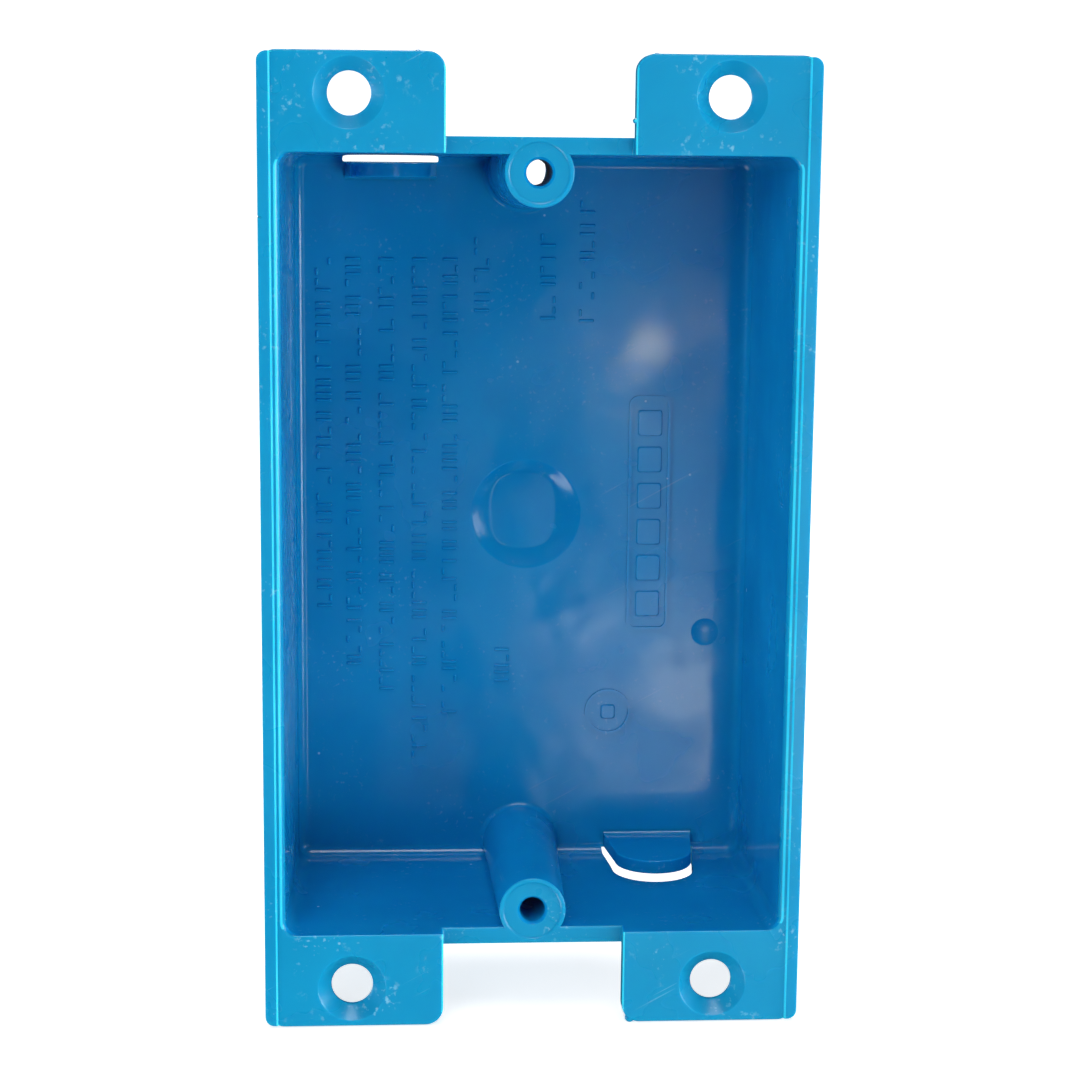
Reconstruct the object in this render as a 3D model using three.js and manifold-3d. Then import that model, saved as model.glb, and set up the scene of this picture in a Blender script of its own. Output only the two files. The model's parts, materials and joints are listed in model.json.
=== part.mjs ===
// Shallow single-gang wall box: one plastic moulding with four screw ears, two device screw posts and two
// sprung cable tabs, each hinged to the back of the box by the plastic itself.
// Millimetres. The origin is the middle of the wall plane, which the backs of the ears bear on.
// +Z is up as installed, +Y goes into the wall and +X is to the right, seen from the room.

import * as THREE from "three";
import { mergeVertices } from "three/addons/utils/BufferGeometryUtils.js";
import Module from "manifold-3d";

// Box, seen from the room
const OUTER_HALF_WIDTH = 30.38;
const OUTER_HALF_HEIGHT = 45.5;
const INNER_HALF_WIDTH = 28.05;
const INNER_HALF_HEIGHT = 43.65;
const OUTER_CORNER_RADIUS = 2.0;
const INNER_CORNER_RADIUS = 1.6;

// Depths along Y, from the wall plane at 0
const EAR_THICKNESS = 2.3;
const TOTAL_DEPTH = 31.75;
const FLOOR_THICKNESS = 2.4;
const FRONT_Y = -EAR_THICKNESS;
const BACK_Y = TOTAL_DEPTH - EAR_THICKNESS;
const FLOOR_Y = BACK_Y - FLOOR_THICKNESS;
const OUTSIDE_DRAFT = 0.35;
const INSIDE_DRAFT_X = 0.55;
const INSIDE_DRAFT_Z = 0.5;
const FLOOR_EDGE_RADIUS = 1.2;
const BACK_EDGE_RADIUS = 0.8;

// Ears
const EAR_INNER_X = 10.23;
const EAR_END_Z = 54.42;
const EAR_CORNER_RADIUS = 2.0;
const EAR_HOLE_X = 20.58;
const EAR_HOLE_Z = 49.95;
const EAR_HOLE_RADIUS = 2.35;
const EAR_SINK_RADIUS = 3.8;
const EAR_SINK_DEPTH = 1.6;

// Low raised lip along both long edges of the front
const LIP_WIDTH = 1.45;
const LIP_HEIGHT = 0.25;
const FACE_Y = FRONT_Y + LIP_HEIGHT;

// Posts for the screws of a switch or outlet, 3 9/32 inches apart
const POST_Z = 41.67;
const POST_FRONT_RADIUS = 3.8;
const POST_BACK_RADIUS = 4.6;
const POST_SEAT_RADIUS = 3.3;
const POST_SEAT_DEPTH = 0.15;
const POST_HOLE_RADIUS = 1.42;
const POST_CHAMFER = 0.3;
const POST_BORE_RADIUS = 2.6;
const POST_BORE_Y = 9;
const POST_BORE_TAPER = 0.6;

// Shallow round well in the middle of the floor
const WELL_X = 0.4;
const WELL_RADIUS = 6.6;
const WELL_FLAT_RADIUS = 4.2;
const WELL_DEPTH = 0.9;

// Arched cable entries through the end walls and the edge of the floor, with a sprung tab inside each
const ENTRY_X = 16.1;
const ENTRY_HALF_WIDTH = 5.75;
const ENTRY_TOP_Y = 15.4;
const ARCH_TAPER = 0.8;
const TAB_HALF_WIDTH = 5.5;
const TAB_TOP_Y = 15.55;
const TAB_WALL_GAP = 1.15;
const TAB_THICKNESS = 1.66;
const TAB_ROOT_GAP = 0.35;
const TAB_ROOT_THICKNESS = 0.6;
const TAB_TAPER_LENGTH = 0.9;

// How far cutting tools reach past what they cut, and how far joined pieces lie in each other
const OVERRUN = 2;
const OVERLAP = 1;
const MERGE_DISTANCE = 1e-4;
const ROUND_STEPS = 48;
const ARCH_STEPS = 12;
const CORNER_STEPS = 6;
const EDGE_STEPS = 4;

const wasm = await Module();
wasm.setup();

// Turns a closed three.js geometry into a solid that can be cut and joined.
function solid(geometry) {
  const bare = geometry.clone();
  bare.deleteAttribute("normal");
  bare.deleteAttribute("uv");
  const merged = mergeVertices(bare, MERGE_DISTANCE);
  return new wasm.Manifold(
    new wasm.Mesh({
      numProp: 3,
      vertProperties: new Float32Array(merged.attributes.position.array),
      triVerts: new Uint32Array(merged.index.array),
    }),
  );
}

function geometryOf(body) {
  const mesh = body.getMesh();
  const geometry = new THREE.BufferGeometry();
  geometry.setAttribute("position", new THREE.BufferAttribute(new Float32Array(mesh.vertProperties), 3));
  geometry.setIndex(new THREE.BufferAttribute(new Uint32Array(mesh.triVerts), 1));
  geometry.computeVertexNormals();
  return geometry;
}

// A rectangle with round corners, given by its low and high corners.
function roundedRectangle(x0, z0, x1, z1, radius) {
  const shape = new THREE.Shape();
  shape.moveTo(x0 + radius, z0);
  shape.lineTo(x1 - radius, z0);
  shape.absarc(x1 - radius, z0 + radius, radius, -Math.PI / 2, 0);
  shape.lineTo(x1, z1 - radius);
  shape.absarc(x1 - radius, z1 - radius, radius, 0, Math.PI / 2);
  shape.lineTo(x0 + radius, z1);
  shape.absarc(x0 + radius, z1 - radius, radius, Math.PI / 2, Math.PI);
  shape.lineTo(x0, z0 + radius);
  shape.absarc(x0 + radius, z0 + radius, radius, Math.PI, 1.5 * Math.PI);
  return shape;
}

// Extrudes an outline drawn in X and Z from backY forward to frontY, with its edges rounded by edgeRadius.
function alongY(shape, frontY, backY, edgeRadius = 0) {
  const geometry = new THREE.ExtrudeGeometry(shape, {
    depth: backY - frontY - 2 * edgeRadius,
    curveSegments: CORNER_STEPS,
    bevelEnabled: edgeRadius > 0,
    bevelThickness: edgeRadius,
    bevelSize: edgeRadius,
    bevelOffset: -edgeRadius,
    bevelSegments: EDGE_STEPS,
  });
  return geometry.rotateX(Math.PI / 2).translate(0, backY - edgeRadius, 0);
}

// Draws a box-shaped geometry in towards endY, by shares of its width and height, as a mould needs.
function drafted(geometry, shareX, shareZ, endY) {
  const point = geometry.attributes.position;
  for (let i = 0; i < point.count; i++) {
    const depth = (point.getY(i) - FRONT_Y) / (endY - FRONT_Y);
    point.setX(i, point.getX(i) * (1 - shareX * depth));
    point.setZ(i, point.getZ(i) * (1 - shareZ * depth));
  }
  return geometry;
}

function block(x0, y0, z0, x1, y1, z1) {
  const geometry = new THREE.BoxGeometry(x1 - x0, y1 - y0, z1 - z0);
  return solid(geometry.translate((x0 + x1) / 2, (y0 + y1) / 2, (z0 + z1) / 2));
}

// A body of revolution about an axis along Y. The profile's pairs are radius and Y.
function turned(profile, x, z) {
  const points = profile.map(([radius, y]) => new THREE.Vector2(radius, y));
  return solid(new THREE.LatheGeometry(points, ROUND_STEPS).translate(x, 0, z));
}

// The arched outline of a cable entry or tab, drawn in X and Y. Its legs lean in from the floor upwards.
function arch(halfWidth, topY, endY) {
  const radius = halfWidth - ARCH_TAPER;
  const shape = new THREE.Shape();
  shape.moveTo(halfWidth, FLOOR_Y);
  shape.lineTo(halfWidth, endY);
  shape.lineTo(-halfWidth, endY);
  shape.lineTo(-halfWidth, FLOOR_Y);
  shape.absarc(0, topY + radius, radius, Math.PI, 2 * Math.PI);
  return shape;
}

function outerForm() {
  const outline = roundedRectangle(
    -OUTER_HALF_WIDTH,
    -OUTER_HALF_HEIGHT,
    OUTER_HALF_WIDTH,
    OUTER_HALF_HEIGHT,
    OUTER_CORNER_RADIUS,
  );
  const geometry = alongY(outline, FRONT_Y - OVERRUN, BACK_Y, BACK_EDGE_RADIUS);
  const shareX = OUTSIDE_DRAFT / OUTER_HALF_WIDTH;
  const shareZ = OUTSIDE_DRAFT / OUTER_HALF_HEIGHT;
  const form = solid(drafted(geometry, shareX, shareZ, BACK_Y));
  const x = OUTER_HALF_WIDTH + OVERRUN;
  const z = OUTER_HALF_HEIGHT + OVERRUN;
  return form.subtract(block(-x, FRONT_Y - 2 * OVERRUN, -z, x, FRONT_Y, z));
}

function cavity() {
  const outline = roundedRectangle(
    -INNER_HALF_WIDTH,
    -INNER_HALF_HEIGHT,
    INNER_HALF_WIDTH,
    INNER_HALF_HEIGHT,
    INNER_CORNER_RADIUS,
  );
  const geometry = alongY(outline, FRONT_Y - 2 * OVERRUN, FLOOR_Y, FLOOR_EDGE_RADIUS);
  const shareX = INSIDE_DRAFT_X / INNER_HALF_WIDTH;
  const shareZ = INSIDE_DRAFT_Z / INNER_HALF_HEIGHT;
  return solid(drafted(geometry, shareX, shareZ, FLOOR_Y));
}

// One ear, with its screw hole. sideX and endZ are +1 or -1.
function ear(sideX, endZ) {
  const xs = [sideX * EAR_INNER_X, sideX * OUTER_HALF_WIDTH].sort((a, b) => a - b);
  const zs = [endZ * (INNER_HALF_HEIGHT + OVERLAP), endZ * EAR_END_Z].sort((a, b) => a - b);
  const outline = roundedRectangle(xs[0], zs[0], xs[1], zs[1], EAR_CORNER_RADIUS);
  const root = block(
    xs[0],
    FRONT_Y,
    Math.min(endZ * (INNER_HALF_HEIGHT + OVERLAP), endZ * (OUTER_HALF_HEIGHT + OVERLAP)),
    xs[1],
    0,
    Math.max(endZ * (INNER_HALF_HEIGHT + OVERLAP), endZ * (OUTER_HALF_HEIGHT + OVERLAP)),
  );
  return solid(alongY(outline, FRONT_Y, 0)).add(root);
}

function earHole(sideX, endZ) {
  const profile = [
    [0, FRONT_Y - OVERRUN],
    [EAR_SINK_RADIUS, FRONT_Y - OVERRUN],
    [EAR_SINK_RADIUS, FACE_Y],
    [EAR_HOLE_RADIUS, FACE_Y + EAR_SINK_DEPTH],
    [EAR_HOLE_RADIUS, OVERRUN],
    [0, OVERRUN],
  ];
  return turned(profile, sideX * EAR_HOLE_X, endZ * EAR_HOLE_Z);
}

function post(endZ) {
  const profile = [
    [0, 0],
    [POST_FRONT_RADIUS, 0],
    [POST_BACK_RADIUS, FLOOR_Y],
    [POST_BACK_RADIUS, FLOOR_Y + OVERLAP],
    [0, FLOOR_Y + OVERLAP],
  ];
  return turned(profile, 0, endZ * POST_Z);
}

// The seat ring, the chamfer, the screw hole and the wider bore that meets it from the back.
function postHole(endZ) {
  const profile = [
    [0, -OVERRUN],
    [POST_SEAT_RADIUS, -OVERRUN],
    [POST_SEAT_RADIUS, POST_SEAT_DEPTH],
    [POST_HOLE_RADIUS + POST_CHAMFER, POST_SEAT_DEPTH],
    [POST_HOLE_RADIUS, POST_SEAT_DEPTH + POST_CHAMFER],
    [POST_HOLE_RADIUS, POST_BORE_Y],
    [POST_BORE_RADIUS, POST_BORE_Y + POST_BORE_TAPER],
    [POST_BORE_RADIUS, BACK_Y + OVERRUN],
    [0, BACK_Y + OVERRUN],
  ];
  return turned(profile, 0, endZ * POST_Z);
}

// Between the ears the end walls and the posts stop at the wall plane.
function strapRecess(endZ) {
  const zs = [endZ * (POST_Z - POST_FRONT_RADIUS - OVERRUN), endZ * EAR_END_Z].sort((a, b) => a - b);
  return block(-EAR_INNER_X, FRONT_Y - OVERRUN, zs[0], EAR_INNER_X, 0, zs[1]);
}

// The front lies a little lower between the lips than on them.
function faceRecess() {
  const x = OUTER_HALF_WIDTH - LIP_WIDTH;
  const z = EAR_END_Z + OVERRUN;
  return block(-x, FRONT_Y - OVERRUN, -z, x, FACE_Y, z);
}

function well() {
  const profile = [
    [0, FLOOR_Y - OVERRUN],
    [WELL_RADIUS, FLOOR_Y - OVERRUN],
    [WELL_RADIUS, FLOOR_Y],
    [WELL_FLAT_RADIUS, FLOOR_Y + WELL_DEPTH],
    [0, FLOOR_Y + WELL_DEPTH],
  ];
  return turned(profile, WELL_X, 0);
}

function cableEntry(entryX, endZ) {
  const innerZ = INNER_HALF_HEIGHT - TAB_WALL_GAP;
  const length = OUTER_HALF_HEIGHT + OVERRUN - innerZ;
  const geometry = new THREE.ExtrudeGeometry(arch(ENTRY_HALF_WIDTH, ENTRY_TOP_Y, BACK_Y + OVERRUN), {
    depth: length,
    curveSegments: ARCH_STEPS,
    bevelEnabled: false,
  });
  const startZ = endZ > 0 ? innerZ : -innerZ - length;
  return solid(geometry.translate(entryX, 0, startZ));
}

// A tab stands on the floor beside the end wall. Its foot is thinned to the hinge that it bends on.
function cableTab(entryX, endZ) {
  const footY = FLOOR_Y - TAB_ROOT_GAP;
  const middleZ = endZ * (INNER_HALF_HEIGHT - TAB_WALL_GAP - TAB_THICKNESS / 2);
  const plate = new THREE.ExtrudeGeometry(arch(TAB_HALF_WIDTH, TAB_TOP_Y, FLOOR_Y + OVERLAP), {
    depth: TAB_THICKNESS,
    curveSegments: ARCH_STEPS,
    bevelEnabled: false,
  });
  plate.translate(entryX, 0, middleZ - TAB_THICKNESS / 2);

  const half = TAB_THICKNESS / 2;
  const section = new THREE.Shape();
  section.moveTo(half, TAB_TOP_Y - OVERRUN);
  section.lineTo(half, footY - TAB_TAPER_LENGTH);
  section.lineTo(TAB_ROOT_THICKNESS / 2, footY);
  section.lineTo(-TAB_ROOT_THICKNESS / 2, footY);
  section.lineTo(-half, footY - TAB_TAPER_LENGTH);
  section.lineTo(-half, TAB_TOP_Y - OVERRUN);
  const width = 2 * (TAB_HALF_WIDTH + OVERRUN);
  const envelope = new THREE.ExtrudeGeometry(section, { depth: width, bevelEnabled: false });
  envelope.rotateY(Math.PI / 2).translate(entryX - width / 2, 0, middleZ);
  return solid(plate).intersect(solid(envelope));
}

const ends = [1, -1];
const corners = ends.flatMap((endZ) => [-1, 1].map((sideX) => [sideX, endZ]));
const entries = [
  { name: "cable_tab_top", x: -ENTRY_X, endZ: 1 },
  { name: "cable_tab_bottom", x: ENTRY_X, endZ: -1 },
];

function boxBody() {
  const outer = outerForm();
  let body = outer.subtract(cavity());
  for (const endZ of ends) {
    body = body.add(post(endZ).intersect(outer));
  }
  for (const [sideX, endZ] of corners) {
    body = body.add(ear(sideX, endZ)).subtract(earHole(sideX, endZ));
  }
  body = body.subtract(faceRecess());
  for (const endZ of ends) {
    body = body.subtract(strapRecess(endZ)).subtract(postHole(endZ));
  }
  for (const entry of entries) {
    body = body.subtract(cableEntry(entry.x, entry.endZ));
  }
  return body.subtract(well());
}

const bluePlastic = { color: 0x1c86c4, roughness: 0.35, metalness: 0 };

const group = new THREE.Group();

function addNode(name, body) {
  const mesh = new THREE.Mesh(geometryOf(body), new THREE.MeshStandardMaterial(bluePlastic));
  mesh.name = name;
  group.add(mesh);
}

addNode("box_body", boxBody());
for (const entry of entries) {
  addNode(entry.name, cableTab(entry.x, entry.endZ));
}

export default group;
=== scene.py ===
"""Looks of the shallow wall box: one blue plastic moulding with two cable tabs, drawn in place and not
attached to the tab bodies; the real tabs bend at their feet.

Shapes are worked out in millimetres, in the frame's own axes (+X right, +Y into the wall, +Z up), and become
metres when a piece is finished. The origin is the middle of the wall plane.
"""

import json
import math
import random

import bmesh
import bpy
import numpy as np
from mathutils import Matrix, Vector

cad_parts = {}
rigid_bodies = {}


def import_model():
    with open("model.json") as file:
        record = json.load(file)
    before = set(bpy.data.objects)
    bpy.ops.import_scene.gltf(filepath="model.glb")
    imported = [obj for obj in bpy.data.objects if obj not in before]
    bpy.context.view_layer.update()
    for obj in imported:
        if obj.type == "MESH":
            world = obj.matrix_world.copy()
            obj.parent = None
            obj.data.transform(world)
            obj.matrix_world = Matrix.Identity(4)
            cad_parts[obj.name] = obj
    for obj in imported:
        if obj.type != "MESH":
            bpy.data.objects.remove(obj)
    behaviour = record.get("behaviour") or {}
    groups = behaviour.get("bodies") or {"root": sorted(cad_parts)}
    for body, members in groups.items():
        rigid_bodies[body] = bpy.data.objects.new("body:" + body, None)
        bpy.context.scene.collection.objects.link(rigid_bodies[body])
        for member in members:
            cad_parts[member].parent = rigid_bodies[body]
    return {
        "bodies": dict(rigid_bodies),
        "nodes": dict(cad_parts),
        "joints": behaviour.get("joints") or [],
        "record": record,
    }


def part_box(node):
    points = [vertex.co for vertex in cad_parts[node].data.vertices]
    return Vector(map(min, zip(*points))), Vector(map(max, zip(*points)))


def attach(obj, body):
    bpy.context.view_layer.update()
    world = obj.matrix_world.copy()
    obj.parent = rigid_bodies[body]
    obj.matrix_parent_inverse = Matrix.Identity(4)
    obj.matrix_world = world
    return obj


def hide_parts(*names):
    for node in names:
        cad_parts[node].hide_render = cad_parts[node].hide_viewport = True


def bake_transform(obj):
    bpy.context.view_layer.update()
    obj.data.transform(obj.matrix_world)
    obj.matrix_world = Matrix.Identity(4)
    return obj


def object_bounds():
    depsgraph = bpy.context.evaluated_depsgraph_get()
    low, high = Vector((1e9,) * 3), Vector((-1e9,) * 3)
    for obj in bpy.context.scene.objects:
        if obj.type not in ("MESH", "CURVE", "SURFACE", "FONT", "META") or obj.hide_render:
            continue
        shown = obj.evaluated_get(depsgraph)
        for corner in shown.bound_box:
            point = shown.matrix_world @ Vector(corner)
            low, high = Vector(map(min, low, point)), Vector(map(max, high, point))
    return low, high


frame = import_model()
cad_low, cad_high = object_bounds()

MM = 0.001
BODY_LOW, BODY_HIGH = (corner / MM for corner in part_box("box_body"))

# Outline and depths, from the frame
HALF_WIDTH = BODY_HIGH.x
EAR_END = BODY_HIGH.z
FRONT = BODY_LOW.y
BACK = BODY_HIGH.y

# Walls and floor
HALF_HEIGHT = 45.5
INNER_HALF_WIDTH = 28.05
INNER_HALF_HEIGHT = 43.65
OUTER_CORNER = 2.0
INNER_CORNER = 1.6
RIM_FLARE = 0.6
RIM_CURVE = ((0.1, 0.56), (0.3, 0.2), (0.6, 0))
FLOOR = BACK - 2.4
FLOOR_FILLET = 1.2
BACK_ROUNDING = 0.8
OUTSIDE_DRAFT = 0.35
INSIDE_DRAFT_X = 0.55
INSIDE_DRAFT_Z = 0.5

# Ears, and the low lip along both long edges of the front
EAR_INNER_X = 10.23
EAR_START = 44.5
EAR_OUTER_CORNER = 2.2
EAR_INNER_CORNER = 2.0
HOLE_X = 20.58
HOLE_Z = 49.95
HOLE_RADIUS = 2.35
SINK_RADIUS = 3.8
SINK_DEPTH = 1.6
HOLE_SOFTENING = 0.12
LIP_WIDTH = 1.45
LIP_HEIGHT = 0.25
LIP_CORNER = 1.2
LIP_SHORTER = 0.17
LIP_SLOPE = 0.12
LIP_ROUNDING = 0.08
FACE = FRONT + LIP_HEIGHT

# Posts for the device screws
POST_Z = 41.67
POST_RADIUS = 3.8
POST_BASE_RADIUS = 4.6
POST_FILLET = 0.7
POST_EDGE_ROUNDING = 0.15
POST_LIMIT = HALF_HEIGHT - 0.9
SEAT_RADIUS = 3.25
SEAT_DEPTH = 0.15
SCREW_RADIUS = 1.42
SCREW_CHAMFER = 0.3
TURNING_MARKS = 9
TURNING_MARK_DEPTH = 0.012
BORE_START = 9.0
BORE_RADIUS = 2.6
BORE_TAPER = 0.6

# Well in the floor
WELL_X = 0.4
WELL_RADIUS = 6.6
WELL_DEPTH = 0.9
WELL_FLAT_X = 3.95
WELL_FLAT_Z = 4.6
WELL_SHIFT_X = -0.25
WELL_SHIFT_Z = 0.3

# Small marks of the moulding: a pit and a nick on the inside and the left edge, the gate on the back
PIT_X = 22.9
PIT_Z = -14.9
NICK_Z = 36.7
GATE_RECESS_RADIUS = 3.0
GATE_STUB_RADIUS = 0.8
GATE_DEPTH = 0.35

# Cable entries and their tabs
ENTRY_X = 16.1
ENTRY_HALF_WIDTH = 5.75
ARCH_TAPER = 0.8
ENTRY_TOP = 15.4
TAB_HALF_WIDTH = 5.5
TAB_TOP = 15.55
TAB_OUTER_Z = INNER_HALF_HEIGHT - 1.15
TAB_THICKNESS = 1.66
TAB_FILLET = 0.6
TAB_ROUNDING = 0.15
TAB_SUNK = 0.6
ENTRY_FOOT_X = ENTRY_HALF_WIDTH + 0.4
ENTRY_FOOT_Y = (ENTRY_TOP + ENTRY_HALF_WIDTH - ARCH_TAPER, FLOOR + 0.6)
ENTRY_FOOT_Z = (TAB_OUTER_Z - 0.5, HALF_HEIGHT - 0.8)

# Low relief on the floor: rows of strokes as (x, first z, last z), a plate with plain blocks and a ring
RELIEF = 0.24
RELIEF_ROOT = 0.5
ROW_HALF_HEIGHT = 0.95
STROKE_HALF_WIDTH = 0.2
NOTE_ROWS = (
    (-24.2, 31, -9),
    (-20.6, 31, -15),
    (-16.6, 31, -23),
    (-12.6, 31, -26),
    (-8.9, 31, -25),
    (-5.1, 33.5, 24),
    (2.9, 34, 23),
    (7.6, 38, 22),
    (-2.4, -17, -22),
)
STROKE_HALF_LENGTH = 0.45
LONG_STROKE_STEPS = (0.8, 1.0)
LONG_STROKE_SHARE = 0.6
SHORT_STROKE_STEP = 1.25
WORD_GAP = 0.8
PLATE_CENTRE = (15.6, 0)
PLATE_HALF_WIDTH = 2.6
PLATE_HALF_HEIGHT = 14.6
PLATE_CORNER = 1.2
BLOCKS = 6
BLOCK_STEP = 4.5
BLOCK_HALF_WIDTH = 1.5
BLOCK_HALF_HEIGHT = 1.6
RING_CENTRE = (10.9, -25)
RING_RADIUS = 2.9
RING_BLOCK = 0.9
FRAME_WIDTH = 0.4

# Crumbs of flash on the ears, as x, z and size
FLASH = (
    (-13.2, 54.25, 0.4),
    (12.4, 54.25, 0.35),
    (10.3, 47.3, 0.4),
    (11.2, -54.2, 0.55),
)
FLASH_Y = -1.2

# Edges
EDGE_ROUNDING = 0.2
EDGE_STEPS = 3
FLAT_BELOW = math.radians(0.2)
SHARP_ABOVE = math.radians(32)
SHADED_SHARP_ABOVE = math.radians(38)

# Mesh: steps in an arc and in a full round, how far cutters overrun, and the step that keeps faces apart
ARC_STEPS = 12
ROUND_STEPS = 96
OVERRUN = 2
NUDGE = 0.01


# ---------------------------------------------------------------- mesh helpers

def arc(cx, cz, radius, start, stop, steps=ARC_STEPS):
    """Points on an arc about (cx, cz), from start to stop in degrees."""
    angles = np.radians(np.linspace(start, stop, steps + 1))
    return [(cx + radius * math.cos(a), cz + radius * math.sin(a)) for a in angles]


def rectangle(half_width, half_height, radius, steps=ARC_STEPS):
    """A rectangle about the origin with round corners."""
    cx, cz = half_width - radius, half_height - radius
    corners = ((cx, cz, 0), (-cx, cz, 90), (-cx, -cz, 180), (cx, -cz, 270))
    return [p for x, z, a in corners for p in arc(x, z, radius, a, a + 90, steps)]


def circle(radius, x=0.0, z=0.0, steps=ROUND_STEPS):
    return arc(x, z, radius, 0, 360, steps)[:-1]


def arch(x, half_width, top, foot, taper):
    """An arch in X and Y whose legs lean in by taper from their feet up to the round top."""
    radius = half_width - taper
    outline = [(x + half_width, BACK + OVERRUN), (x + half_width, foot)]
    outline += arc(x, top + radius, radius, 0, -180, 2 * ARC_STEPS)
    return outline + [(x - half_width, foot), (x - half_width, BACK + OVERRUN)]


def at_depth(outline, y):
    """Places an outline drawn in X and Z at a depth."""
    return [(x, y, z) for x, z in outline]


def solid(name, points, faces):
    """A closed body with its faces pointing out."""
    mesh = bpy.data.meshes.new(name)
    mesh.from_pydata(points, [], faces)
    work = bmesh.new()
    work.from_mesh(mesh)
    bmesh.ops.recalc_face_normals(work, faces=work.faces)
    work.to_mesh(mesh)
    work.free()
    body = bpy.data.objects.new(name, mesh)
    bpy.context.scene.collection.objects.link(body)
    return body


def loft(name, rings):
    """A closed body through rings of equally many points, flat over the first and last ring."""
    count = len(rings[0])
    last = (len(rings) - 1) * count
    faces = [tuple(range(count)), tuple(range(last, last + count))]
    for level in range(len(rings) - 1):
        for i in range(count):
            a, b = level * count + i, level * count + (i + 1) % count
            faces.append((a, b, b + count, a + count))
    return solid(name, [p for ring in rings for p in ring], faces)


def together(pieces):
    """One object with the meshes of several that don't touch."""
    work = bmesh.new()
    for piece in pieces:
        work.from_mesh(piece.data)
        bpy.data.objects.remove(piece)
    joined = bpy.data.objects.new("joined", bpy.data.meshes.new("joined"))
    work.to_mesh(joined.data)
    work.free()
    bpy.context.scene.collection.objects.link(joined)
    return joined


def turned(name, profile, x, z):
    """A body turned about an axis along Y. The profile's pairs are radius and depth."""
    return loft(name, [at_depth(circle(radius, x, z), y) for radius, y in profile])


def block(name, low, high):
    (x0, y0, z0), (x1, y1, z1) = low, high
    return loft(name, [[(x0, y, z0), (x1, y, z0), (x1, y, z1), (x0, y, z1)] for y in (y0, y1)])


def settle(piece):
    """Gives a piece the mesh that its modifiers make, and drops them."""
    evaluated = piece.evaluated_get(bpy.context.evaluated_depsgraph_get())
    mesh = bpy.data.meshes.new_from_object(evaluated)
    old = piece.data
    piece.modifiers.clear()
    piece.data = mesh
    bpy.data.meshes.remove(old)


def combine(piece, tools, operation, solver="MANIFOLD"):
    """Joins tools to the piece, or cuts them out of it, one after the other."""
    for tool in tools:
        change = piece.modifiers.new("combine", "BOOLEAN")
        change.operation = operation
        change.solver = solver
        change.object = tool
        settle(piece)
        bpy.data.objects.remove(tool)


def mirrored(outline, side_x, end_z):
    return [(x * side_x, z * end_z) for x, z in outline]


CORNERS = [(side_x, end_z) for end_z in (1, -1) for side_x in (-1, 1)]
ENTRIES = {"upper_cable_tab": (-ENTRY_X, 1), "lower_cable_tab": (ENTRY_X, -1)}


# ---------------------------------------------------------------- the moulding

def outer_rings():
    """Rings round the outside of the tub, drawn in towards the back and rounded there."""
    def ring(y, inset):
        outline = rectangle(HALF_WIDTH - inset, HALF_HEIGHT - inset, OUTER_CORNER - inset)
        return at_depth(outline, y)

    rings = [ring(FACE, 0), ring(0, 0)]
    for turn in np.radians(np.linspace(0, 90, 6)):
        y = BACK - BACK_ROUNDING * (1 - math.sin(turn))
        rings.append(ring(y, OUTSIDE_DRAFT * y / BACK + BACK_ROUNDING * (1 - math.cos(turn))))
    return rings


def cavity_rings():
    """Rings round the inside of the tub, with a fillet along the floor."""
    def ring(y, inset, flare=0.0):
        depth = (y - FRONT) / (FLOOR - FRONT)
        half_width = INNER_HALF_WIDTH - INSIDE_DRAFT_X * depth - inset + flare
        half_height = INNER_HALF_HEIGHT - INSIDE_DRAFT_Z * depth - inset
        return at_depth(rectangle(half_width, half_height, INNER_CORNER - inset), y)

    rings = [ring(FRONT - OVERRUN, 0, RIM_FLARE), ring(FACE, 0, RIM_FLARE)]
    rings += [ring(FACE + y, 0, RIM_FLARE * share) for y, share in RIM_CURVE]
    for turn in np.radians(np.linspace(0, 90, 9)):
        y = FLOOR - FLOOR_FILLET * (1 - math.sin(turn))
        rings.append(ring(y, FLOOR_FILLET * (1 - math.cos(turn))))
    return rings


def ear_plate(side_x, end_z):
    r, s = EAR_OUTER_CORNER, EAR_INNER_CORNER
    root = INNER_HALF_HEIGHT - OVERRUN
    outline = [(EAR_INNER_X, root), (HALF_WIDTH, root)]
    outline += arc(HALF_WIDTH - r, EAR_END - r, r, 0, 90)
    outline += arc(EAR_INNER_X + s, EAR_END - s, s, 90, 180)
    outline = mirrored(outline, side_x, end_z)
    return loft("ear", [at_depth(outline, FACE), at_depth(outline, 0)])


def entry_cut(x, end_z):
    """The arched way through an end wall and the edge of the floor."""
    outline = arch(x, ENTRY_HALF_WIDTH, ENTRY_TOP, FLOOR, ARCH_TAPER)
    ends = (end_z * TAB_OUTER_Z, end_z * (HALF_HEIGHT + OVERRUN))
    return loft("entry", [[(px, py, z) for px, py in outline] for z in ends])


def at_entry_foot(point):
    """Whether a point lies on the foot of an entry, where the fillet along the floor runs into it."""
    if not ENTRY_FOOT_Y[0] < point.y < ENTRY_FOOT_Y[1]:
        return False
    return any(
        abs(point.x - x) < ENTRY_FOOT_X and ENTRY_FOOT_Z[0] < point.z * end_z < ENTRY_FOOT_Z[1]
        for x, end_z in ENTRIES.values()
    )


def on_ear_back(point):
    return -0.3 < point.y < 1 and abs(point.x) > EAR_INNER_X + 0.05


def at_tab_foot(point):
    return point.y > FLOOR - TAB_FILLET - 0.1


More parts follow.
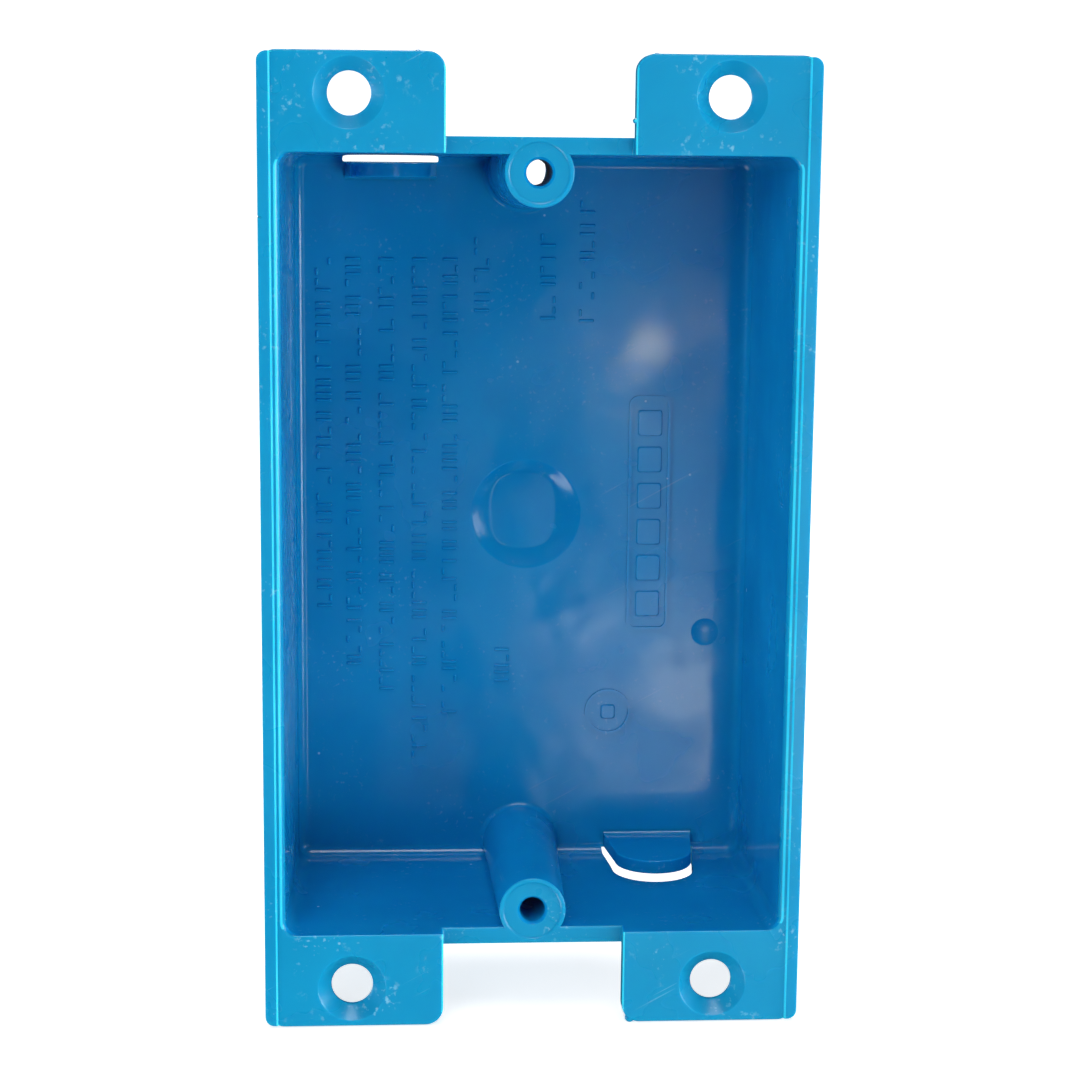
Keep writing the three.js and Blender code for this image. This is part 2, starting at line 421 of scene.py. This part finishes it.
def round_edges(piece, radius, keep_sharp):
    """Rounds the sharp edges, apart from those whose middles are to be kept sharp."""
    work = bmesh.new()
    work.from_mesh(piece.data)
    bmesh.ops.dissolve_limit(work, angle_limit=FLAT_BELOW, verts=work.verts, edges=work.edges)
    sharp = []
    for edge in work.edges:
        if len(edge.link_faces) != 2 or edge.calc_face_angle() < SHARP_ABOVE:
            continue
        if not keep_sharp((edge.verts[0].co + edge.verts[1].co) / 2):
            sharp.append(edge)
    bmesh.ops.bevel(
        work, geom=sharp, offset=radius, offset_type="OFFSET", segments=EDGE_STEPS, profile=0.5,
        affect="EDGES", clamp_overlap=False, miter_outer="SHARP", miter_inner="SHARP",
    )
    work.to_mesh(piece.data)
    work.free()


def lip(side_x):
    """A low raised strip along one long edge of the front, with a sloping inner side."""
    def ring(y, slope, inset):
        x0 = HALF_WIDTH - LIP_WIDTH + slope + inset
        x1 = HALF_WIDTH - NUDGE - inset
        z1 = EAR_END - LIP_SHORTER - inset
        r = LIP_CORNER - slope - 2 * inset
        half = [(x1, 0)] + arc(x1 - r, z1 - r, r, 0, 90, 10) + [(x0, z1)]
        outline = half + [(x, -z) for x, z in reversed(half[1:])]
        return at_depth(mirrored(outline, side_x, 1), y)

    rings = [ring(FACE + 0.6, 0, 0), ring(FACE, 0, 0), ring(FRONT + LIP_ROUNDING, LIP_SLOPE, 0)]
    for turn in np.radians(np.linspace(45, 90, 4)):
        inset = LIP_ROUNDING * (1 - math.cos(turn))
        rings.append(ring(FRONT + LIP_ROUNDING * (1 - math.sin(turn)), LIP_SLOPE, inset))
    return loft("lip", rings)


def post(end_z):
    """A screw post, filleted to the floor and held back inside the end wall."""
    top, foot = -NUDGE, FLOOR + NUDGE
    profile = []
    for turn in np.radians(np.linspace(90, 0, 5)):
        radius = POST_RADIUS - POST_EDGE_ROUNDING * (1 - math.cos(turn))
        profile.append((radius, top + POST_EDGE_ROUNDING * (1 - math.sin(turn))))
    for turn in np.radians(np.linspace(4, 88, 8)):
        radius = POST_BASE_RADIUS + POST_FILLET * (1 - math.cos(turn))
        profile.append((radius, foot - POST_FILLET * (1 - math.sin(turn))))
    profile.append((POST_BASE_RADIUS + POST_FILLET, FLOOR + 0.8))
    rings = []
    for radius, y in profile:
        outline = [(x, min(z, POST_LIMIT)) for x, z in circle(radius, 0, POST_Z)]
        rings.append(at_depth(mirrored(outline, 1, end_z), y))
    return loft("post", rings)


def screw_cut(end_z):
    """The turned seat on a post, the hole for the screw, and the wider bore from the back."""
    profile = [(SEAT_RADIUS + 0.2, -1), (SEAT_RADIUS + 0.2, -0.02), (SEAT_RADIUS + 0.1, 0.05)]
    steps = 2 * TURNING_MARKS
    for i in range(steps + 1):
        radius = SEAT_RADIUS + (SCREW_RADIUS + SCREW_CHAMFER - SEAT_RADIUS) * i / steps
        profile.append((radius, SEAT_DEPTH + TURNING_MARK_DEPTH * (i % 2)))
    profile += [
        (SCREW_RADIUS + 0.06, SEAT_DEPTH + 0.26),
        (SCREW_RADIUS, SEAT_DEPTH + 0.42),
        (SCREW_RADIUS, BORE_START),
        (BORE_RADIUS, BORE_START + BORE_TAPER),
        (BORE_RADIUS, BACK - 0.15),
        (BORE_RADIUS + 0.2, BACK + 0.02),
        (BORE_RADIUS + 0.2, BACK + 1),
    ]
    return turned("screw", profile, 0, end_z * POST_Z)


def ear_cut(side_x, end_z):
    """A countersunk hole with softened edges."""
    sink_foot = FACE + SINK_DEPTH
    profile = [
        (SINK_RADIUS + 0.1, FACE - 1),
        (SINK_RADIUS + 0.1, FACE - NUDGE),
        (SINK_RADIUS + 0.02, FACE + 0.04),
        (SINK_RADIUS - 0.08, FACE + 0.13),
        (HOLE_RADIUS + 0.1, sink_foot - 0.14),
        (HOLE_RADIUS + 0.02, sink_foot - 0.03),
        (HOLE_RADIUS, sink_foot + 0.08),
        (HOLE_RADIUS, -0.1),
        (HOLE_RADIUS + HOLE_SOFTENING, NUDGE),
        (HOLE_RADIUS + HOLE_SOFTENING, 1),
    ]
    return turned("sink", profile, side_x * HOLE_X, end_z * HOLE_Z)


def well_cut():
    """A shallow dish: round at the floor, barrel shaped at its bottom."""
    def ring(share, y):
        points = []
        for i in range(ROUND_STEPS):
            a = 2 * math.pi * i / ROUND_STEPS
            c, s = math.cos(a), math.sin(a)
            barrel = (abs(c / WELL_FLAT_X) ** 3 + abs(s / WELL_FLAT_Z) ** 3) ** (-1 / 3)
            radius = WELL_RADIUS + (barrel - WELL_RADIUS) * share
            x = WELL_X + WELL_SHIFT_X * share + radius * c
            points.append((x, y, WELL_SHIFT_Z * share + radius * s))
        return points

    rings = [ring(-0.12, FLOOR - 1), ring(-0.12, FLOOR - NUDGE), ring(-0.06, FLOOR + 0.012)]
    slope = ((0, 0.05), (0.08, 0.13), (0.3, 0.36), (0.6, 0.66), (0.8, 0.81), (0.92, 0.87))
    rings += [ring(share, FLOOR + depth) for share, depth in slope]
    rings.append(ring(1.04, FLOOR + WELL_DEPTH))
    return loft("well", rings)


def pad(x, z, half_x, half_z):
    """A low raised stroke on the floor, with softened edges."""
    def ring(y, inset):
        wide, tall = half_x - inset, half_z - inset
        outline = rectangle(wide, tall, min(0.6 * min(wide, tall), 0.3), 2)
        return at_depth(moved(outline, x, z), y)

    levels = ((FLOOR + RELIEF_ROOT, 0), (FLOOR - 0.3 * RELIEF, 0.02), (FLOOR - RELIEF, 0.13))
    return loft("pad", [ring(*level) for level in levels])


def band(outer, inner, low, high):
    """A closed band between two outlines of equally many points."""
    count = len(outer)
    rings = [at_depth(outer, low), at_depth(outer, high), at_depth(inner, high), at_depth(inner, low)]
    faces = []
    for level in range(4):
        for i in range(count):
            j = (i + 1) % count
            a, b = level * count, (level + 1) % 4 * count
            faces.append((a + i, a + j, b + j, b + i))
    return solid("band", [p for ring in rings for p in ring], faces)


def moved(outline, x, z):
    return [(px + x, pz + z) for px, pz in outline]


def stroke_rows():
    """Rows of plain low strokes where a maker would put its notes. They spell nothing."""
    pick = random.Random(7)
    strokes = []
    for x, start, stop in NOTE_ROWS:
        z = start
        while z > stop:
            for _ in range(pick.choice((2, 3, 4, 5, 6))):
                if pick.random() < LONG_STROKE_SHARE:
                    strokes.append(pad(x, z, ROW_HALF_HEIGHT, STROKE_HALF_WIDTH))
                    z -= pick.choice(LONG_STROKE_STEPS)
                else:
                    side = pick.choice((-1, 1)) * (ROW_HALF_HEIGHT - STROKE_HALF_WIDTH)
                    strokes.append(pad(x + side, z - 0.3, STROKE_HALF_WIDTH, STROKE_HALF_LENGTH))
                    z -= SHORT_STROKE_STEP
            z -= WORD_GAP
    return strokes


def plate_frames():
    """A name plate frame with plain blocks in it, and a round frame with one."""
    x, z = PLATE_CENTRE
    ring_x, ring_z = RING_CENTRE
    depths = (FLOOR + RELIEF_ROOT, FLOOR - RELIEF)

    def plate(inset):
        wide, tall = PLATE_HALF_WIDTH - inset, PLATE_HALF_HEIGHT - inset
        return moved(rectangle(wide, tall, PLATE_CORNER - inset), x, z)

    def ring(inset):
        return circle(RING_RADIUS - inset, ring_x, ring_z)

    pieces = [band(frame(0), frame(FRAME_WIDTH), *depths) for frame in (plate, ring)]
    for i in range(BLOCKS):
        block_z = z + BLOCK_STEP * (i - (BLOCKS - 1) / 2)
        pieces.append(pad(x, block_z, BLOCK_HALF_WIDTH, BLOCK_HALF_HEIGHT))
    pieces.append(pad(ring_x, ring_z, RING_BLOCK, RING_BLOCK))
    return pieces


def flash(x, z, size):
    """A crumb of flash left on the edge of an ear."""
    work = bmesh.new()
    bmesh.ops.create_icosphere(work, subdivisions=3, radius=1)
    scale = Vector((size, 0.8, 0.8 * size))
    for vertex in work.verts:
        vertex.co = Vector((x, FLASH_Y, z)) + vertex.co * scale
    crumb = bpy.data.objects.new("flash", bpy.data.meshes.new("flash"))
    work.to_mesh(crumb.data)
    work.free()
    bpy.context.scene.collection.objects.link(crumb)
    return crumb


def nick_cut():
    """A small nick in the left edge."""
    x = -HALF_WIDTH
    outline = [(x - 0.6, NICK_Z + 0.5), (x - 0.6, NICK_Z + 0.05), (x + 0.45, NICK_Z)]
    return loft("nick", [at_depth(outline, FRONT - 1), at_depth(outline, FRONT + 1.4)])


def pit_cut():
    """A small pit left by a pin of the mould."""
    slope = ((1.8, -0.5), (1.8, -NUDGE), (1.65, 0.03), (1.1, 0.1), (0.3, 0.14))
    return turned("pit", [(radius, FLOOR + depth) for radius, depth in slope], PIT_X, PIT_Z)


def gate_cut():
    """The round recess on the back, with the stub of the moulding gate standing in it."""
    recess, stub = circle(GATE_RECESS_RADIUS, WELL_X), circle(GATE_STUB_RADIUS, WELL_X)
    return band(recess, stub, BACK + 0.5, BACK - GATE_DEPTH)


def moulding():
    body = loft("box_moulding", outer_rings())
    combine(body, [ear_plate(*corner) for corner in CORNERS], "UNION", "EXACT")
    combine(body, [loft("cavity", cavity_rings())], "DIFFERENCE", "EXACT")
    for end_z in (1, -1):
        zs = sorted((end_z * (INNER_HALF_HEIGHT - OVERRUN), end_z * (EAR_END + OVERRUN)))
        gap = block("gap", (-EAR_INNER_X, FRONT - 1, zs[0]), (EAR_INNER_X, 0, zs[1]))
        combine(body, [gap], "DIFFERENCE", "EXACT")
    combine(body, [entry_cut(*entry) for entry in ENTRIES.values()], "DIFFERENCE", "EXACT")
    round_edges(body, EDGE_ROUNDING, lambda point: on_ear_back(point) or at_entry_foot(point))
    combine(body, [lip(1), lip(-1), post(1), post(-1)], "UNION")
    combine(body, [ear_cut(*corner) for corner in CORNERS], "DIFFERENCE")
    combine(body, [together(stroke_rows() + plate_frames())], "UNION")
    combine(body, [flash(*crumb) for crumb in FLASH], "UNION")
    cuts = [screw_cut(1), screw_cut(-1), well_cut(), nick_cut(), pit_cut(), gate_cut()]
    combine(body, cuts, "DIFFERENCE")
    return body


def cable_tab(name, x, end_z):
    """A tab with a fillet at its inner foot. Its foot is set a little way into the floor."""
    foot = FLOOR + TAB_SUNK
    z0, z1 = TAB_OUTER_Z - 0.02, TAB_OUTER_Z - TAB_THICKNESS
    section = [(z0, TAB_TOP - 1), (z0, foot), (z1 - TAB_FILLET, foot)]
    for turn in np.radians(np.linspace(86, 0, 7)):
        reach = TAB_FILLET * (1 - math.cos(turn))
        section.append((z1 - reach, FLOOR + NUDGE - TAB_FILLET * (1 - math.sin(turn))))
    section.append((z1, TAB_TOP - 1))
    wide = TAB_HALF_WIDTH + 1
    body = loft(name, [[(px, y, end_z * z) for z, y in section] for px in (x - wide, x + wide)])
    outline = arch(x, TAB_HALF_WIDTH, TAB_TOP, FLOOR, ARCH_TAPER)
    ends = (end_z * (INNER_HALF_HEIGHT - 8), end_z * INNER_HALF_HEIGHT)
    cutter = loft("arch", [[(px, py, z) for px, py in outline] for z in ends])
    combine(body, [cutter], "INTERSECT", "EXACT")
    round_edges(body, TAB_ROUNDING, at_tab_foot)
    return body


# ---------------------------------------------------------------- finishing

def smooth(piece):
    """Shades a piece smooth across its small facets, and keeps its flats flat."""
    piece.data.shade_smooth()
    piece.data.set_sharp_from_angle(angle=SHADED_SHARP_ABOVE)
    weigh = piece.modifiers.new("weigh", "WEIGHTED_NORMAL")
    weigh.keep_sharp = True
    weigh.weight = 60


def to_metres(piece):
    piece.data.transform(Matrix.Scale(MM, 4))
    piece.data.update()


box = moulding()
tabs = {name: cable_tab(name, *place) for name, place in ENTRIES.items()}
for piece in (box, *tabs.values()):
    to_metres(piece)
    smooth(piece)

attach(box, "box")
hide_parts("box_body")
for name, node, child in (
    ("upper_cable_tab", "cable_tab_top", "top_tab"),
    ("lower_cable_tab", "cable_tab_bottom", "bottom_tab"),
):
    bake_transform(tabs[name])
    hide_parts(node)


# ---------------------------------------------------------------- material

# Scales of the noises, in waves a metre
CLOUD_SCALE = 70.0
FILM_SCALE = 95.0
SPECK_SCALE = 330.0
GRAIN_SCALE = 1700.0
DUST_PATCH_SCALE = 160.0
SCRATCH_PATCH_SCALE = 110.0
SCRATCH_STRETCH = (60, 60, 2600)
LONG_WAVE_SCALE = 85.0
SHORT_WAVE_SCALE = 1300.0

SCRATCH_TURN = 0.5
SCRATCH_SPARSENESS = 0.72
GROOVE_DEPTH = 0.000005
PALE_MARKS = (0.36, 0.68, 0.82, 1)
PLASTIC_IOR = 1.5
COAT_ROUGHNESS = 0.06
SCATTER_SHARE = 0.6
SCATTER_COLOUR = (0.15, 0.9, 1.0)
SCATTER_DEPTH = 1.6 * MM


class Graph:
    """Short ways to add and join a material's nodes."""

    def __init__(self, material):
        material.use_nodes = True
        self.tree = material.node_tree
        self.shader = self.tree.nodes["Principled BSDF"]

    def node(self, kind, **sockets):
        """Adds a node. Socket values are numbers, colours or other nodes' outputs."""
        made = self.tree.nodes.new(kind)
        for name, value in sockets.items():
            self.put(made, name.replace("_", " "), value)
        return made

    def put(self, node, socket, value):
        """Sets a socket by its name or number, or joins another node's output to it."""
        target = node.inputs[socket]
        if isinstance(value, bpy.types.NodeSocket):
            self.tree.links.new(value, target)
        else:
            target.default_value = value

    def math(self, operation, a, b):
        made = self.tree.nodes.new("ShaderNodeMath")
        made.operation = operation
        self.put(made, 0, a)
        self.put(made, 1, b)
        return made.outputs[0]

    def remap(self, value, low, high, to_low, to_high):
        made = self.tree.nodes.new("ShaderNodeMapRange")
        for socket, number in enumerate((value, low, high, to_low, to_high)):
            self.put(made, socket, number)
        return made.outputs[0]

    def blend(self, share, a, b):
        made = self.tree.nodes.new("ShaderNodeMix")
        made.data_type = "RGBA"
        self.put(made, 0, share)
        self.put(made, 6, a)
        self.put(made, 7, b)
        return made.outputs[2]

    def noise(self, place, scale, detail=2.0):
        return self.node("ShaderNodeTexNoise", Vector=place, Scale=scale, Detail=detail).outputs[0]

    def bump(self, height, distance, normal=None):
        """Unevenness of a height in metres, on top of what the normal already has."""
        made = self.node("ShaderNodeBump", Height=height, Distance=distance, Strength=1.0)
        if normal is not None:
            self.put(made, "Normal", normal)
        return made.outputs[0]

    def hairlines(self, place, turn, sparse):
        """Thin broken scratches along one direction."""
        spin = self.node("ShaderNodeMapping", Vector=place, Rotation=(0, turn, 0))
        stretch = self.node("ShaderNodeMapping", Vector=spin.outputs[0], Scale=SCRATCH_STRETCH)
        streaks = self.noise(stretch.outputs[0], 1.0, 1.0)
        patches = self.noise(place, SCRATCH_PATCH_SCALE, 1.0)
        line = self.remap(streaks, sparse, sparse + 0.05, 0, 1)
        return self.math("MULTIPLY", line, self.remap(patches, 0.55, 0.66, 0, 1))


def plastic(name, deep, pale, roughness, haze, wave, peel, scratches, dustiness, gloss):
    """Blue PVC. Its roughness varies by haze; wave and peel are heights of unevenness, in metres."""
    material = bpy.data.materials.new(name)
    g = Graph(material)
    place = g.node("ShaderNodeTexCoord").outputs["Object"]

    cloud = g.remap(g.noise(place, CLOUD_SCALE, 3.0), 0.3, 0.7, 0, 1)
    colour = g.blend(cloud, deep, pale)

    cells = g.node("ShaderNodeTexVoronoi", Vector=place, Scale=SPECK_SCALE)
    chosen = g.node("ShaderNodeSeparateColor", Color=cells.outputs["Color"])
    small = g.remap(cells.outputs["Distance"], 0.035, 0.06, 1, 0)
    speck = g.math("MULTIPLY", small, g.remap(chosen.outputs[0], 0.72, 0.74, 0, 1))

    lines = g.math("MULTIPLY", g.hairlines(place, SCRATCH_TURN, SCRATCH_SPARSENESS), scratches)
    grains = g.remap(g.noise(place, GRAIN_SCALE), 0.6, 0.72, 0, 1)
    dust_patches = g.remap(g.noise(place, DUST_PATCH_SCALE), 0.5, 0.66, 0, dustiness)
    dust = g.math("MULTIPLY", grains, dust_patches)
    worn = g.math("MINIMUM", g.math("ADD", g.math("MULTIPLY", speck, 0.5), lines), 0.8)
    pale_marks = g.math("MAXIMUM", worn, dust)
    g.put(g.shader, "Base Color", g.blend(pale_marks, colour, PALE_MARKS))

    film = g.remap(g.noise(place, FILM_SCALE, 3.0), 0.38, 0.62, 0, 1)
    uneven = g.remap(film, 0, 1, roughness - haze, roughness + haze)
    g.put(g.shader, "Roughness", g.math("ADD", uneven, g.math("MULTIPLY", worn, 0.3)))

    normal = g.bump(g.noise(place, LONG_WAVE_SCALE), wave)
    normal = g.bump(g.noise(place, SHORT_WAVE_SCALE, 3.0), peel, normal)
    g.put(g.shader, "Normal", g.bump(lines, GROOVE_DEPTH, normal))

    g.put(g.shader, "IOR", PLASTIC_IOR)
    g.put(g.shader, "Coat Weight", gloss)
    g.put(g.shader, "Coat Roughness", COAT_ROUGHNESS)
    g.put(g.shader, "Subsurface Weight", SCATTER_SHARE)
    g.put(g.shader, "Subsurface Radius", SCATTER_COLOUR)
    g.put(g.shader, "Subsurface Scale", SCATTER_DEPTH)
    return material


satin = plastic(
    "satin_blue", deep=(0.004, 0.28, 0.525, 1), pale=(0.006, 0.315, 0.575, 1), roughness=0.3, haze=0.04,
    wave=0.00003, peel=0.000003, scratches=0.4, dustiness=0.5, gloss=0.1,
)
# A paler blue painted on thin edges of the front: a painted glow standing for light coming through the
# plastic there, not the plastic's own colour.
edge = plastic(
    "painted_glow_blue", deep=(0.01, 0.56, 0.84, 1), pale=(0.06, 0.72, 0.94, 1), roughness=0.3, haze=0.04,
    wave=0.00003, peel=0.000006, scratches=0.3, dustiness=0.5, gloss=0.1,
)
polished = plastic(
    "polished_blue", deep=(0.001, 0.236, 0.545, 1), pale=(0.004, 0.287, 0.615, 1), roughness=0.19, haze=0.09,
    wave=0.00016, peel=0.0000015, scratches=0.12, dustiness=0.15, gloss=0.25,
)


def in_painted_glow(x, y, z):
    """Whether a place in millimetres lies on a thin edge of the front that gets the paler colour, a painted
    glow standing for light coming through the plastic.
    """
    depth = y - FACE
    lip_slope = abs(abs(x) - HALF_WIDTH + LIP_WIDTH) < 0.2 and depth < 0.05
    rim_edge = 0.25 < abs(x) - INNER_HALF_WIDTH < 0.75 and depth < 0.45 and abs(z) < EAR_START
    ear_side = abs(abs(x) - EAR_INNER_X) < 0.22 and depth < 0.3
    return lip_slope or rim_edge or ear_side


def paint(piece):
    """Satin all over, with a paler colour painted along thin edges as a glow of light coming through them,
    and polished on what lies inside the box.
    """
    finishes = [satin, polished, edge]
    piece.data.materials.clear()
    for material in finishes:
        piece.data.materials.append(material)
    for face in piece.data.polygons:
        x, y, z = face.center / MM
        inside = abs(x) < INNER_HALF_WIDTH + 0.02 and abs(z) < INNER_HALF_HEIGHT + 0.02
        deep = 0.25 < y < BACK - 0.5
        below_ears = abs(x) > EAR_INNER_X and FACE + 0.1 < y <= 0.25
        if inside and (deep or below_ears):
            face.material_index = finishes.index(polished)
        # Thin edges get the paler blue: a painted glow of light through the plastic.
        elif in_painted_glow(x, y, z):
            face.material_index = finishes.index(edge)


for piece in (box, *tabs.values()):
    paint(piece)


# ---------------------------------------------------------------- studio

STUDIO_WHITE = (0.86, 0.86, 0.86, 1)
STUDIO_GLOW = 0.7
ROOM_LIGHT = 0.02
LAMP_DISTANCE = 0.9

# The camera's place in metres, and the directions to its right and upwards
CAMERA_PLACE = Vector((-0.0166, -0.2545, 0.0445))
CAMERA_RIGHT = Vector((0.99783, -0.06506, 0.00987))
CAMERA_UP = Vector((0.00116, 0.16722, 0.98592))
CAMERA_LENS = 77.5


def studio_bowl():
    """A pale floor that rises all round into a pale wall."""
    floor_z = cad_low.z - 0.0002
    flat, turn, top = 0.8, 0.4, 1.0
    profile = [(0.05, 0), (flat, 0)]
    for a in np.radians(np.linspace(5, 90, 18)):
        profile.append((flat + turn * math.sin(a), turn * (1 - math.cos(a))))
    profile.append((flat + turn, top))
    points, faces = [(0, 0, floor_z)], []
    steps = 96
    for radius, height in profile:
        points += [(x, y, floor_z + height) for x, y in circle(radius, steps=steps)]
    for i in range(steps):
        j = (i + 1) % steps
        faces.append((0, 1 + i, 1 + j))
        for level in range(len(profile) - 1):
            a, b = 1 + level * steps, 1 + (level + 1) * steps
            faces.append((a + i, b + i, b + j, a + j))
    mesh = bpy.data.meshes.new("studio")
    mesh.from_pydata(points, [], faces)
    mesh.shade_smooth()
    bowl = bpy.data.objects.new("studio", mesh)
    bpy.context.scene.collection.objects.link(bowl)
    material = bpy.data.materials.new("studio_white")
    material.use_nodes = True
    shader = material.node_tree.nodes["Principled BSDF"]
    shader.inputs["Base Color"].default_value = STUDIO_WHITE
    shader.inputs["Roughness"].default_value = 0.9
    shader.inputs["Emission Color"].default_value = (1, 1, 1, 1)
    shader.inputs["Emission Strength"].default_value = STUDIO_GLOW
    mesh.materials.append(material)
    bowl.visible_glossy = False
    bowl.visible_diffuse = False
    bowl.visible_shadow = False


def lamp(name, off_axis, round_axis, size, power, colour=(1, 1, 1), shiny=True):
    """A soft round light that faces the box. Its angles are in degrees, off the box's axis and round it."""
    light = bpy.data.lights.new(name, "AREA")
    light.shape = "DISK"
    light.size = size
    light.energy = power
    light.color = colour
    lamp_object = bpy.data.objects.new(name, light)
    bpy.context.scene.collection.objects.link(lamp_object)
    off, turn = math.radians(off_axis), math.radians(round_axis)
    away = Vector((math.sin(off) * math.cos(turn), -math.cos(off), math.sin(off) * math.sin(turn)))
    lamp_object.location = away * LAMP_DISTANCE
    lamp_object.rotation_euler = away.to_track_quat("Z", "Y").to_euler()
    lamp_object.visible_camera = False
    lamp_object.visible_glossy = shiny


def world_light():
    world = bpy.data.worlds.new("room")
    bpy.context.scene.world = world
    world.use_nodes = True
    background = world.node_tree.nodes["Background"]
    background.inputs["Color"].default_value = (1, 1, 1, 1)
    background.inputs["Strength"].default_value = ROOM_LIGHT


def camera():
    data = bpy.data.cameras.new("camera")
    data.sensor_width = 36
    data.lens = CAMERA_LENS
    data.clip_start = 0.01
    back = CAMERA_RIGHT.cross(CAMERA_UP)
    turn = Matrix((CAMERA_RIGHT, CAMERA_UP, back)).transposed().to_4x4()
    camera_object = bpy.data.objects.new("camera", data)
    bpy.context.scene.collection.objects.link(camera_object)
    camera_object.matrix_world = Matrix.Translation(CAMERA_PLACE) @ turn
    bpy.context.scene.camera = camera_object


studio_bowl()
world_light()
# Name, degrees off the axis, degrees round it from the right, size in metres, watts
lamp("right", 62, 0, 0.5, 3.7)
lamp("edge_right", 85, 2, 0.3, 5.0, shiny=False)
lamp("lower_right", 38, 315, 0.5, 3.5, shiny=False)
lamp("left", 62, 180, 0.5, 2.7, shiny=False)
lamp("lower_left", 62, 225, 0.5, 2.1)
lamp("upper_left", 38, 135, 0.5, 2.0, shiny=False)
lamp("above", 62, 90, 0.5, 2.7)
lamp("haze", 17.4, 300, 0.12, 0.11, (1, 1, 0.82))
lamp("wide_haze", 16, 340, 0.3, 0.14, (0.85, 1, 0.8))
lamp("spark", 8.5, 335, 0.02, 0.024, (1, 0.85, 0.45))
lamp("behind_left", 120, 180, 0.5, 2.5)
lamp("behind_above", 130, 90, 0.5, 4.0)
camera()
bpy.context.scene.view_settings.view_transform = "Standard"
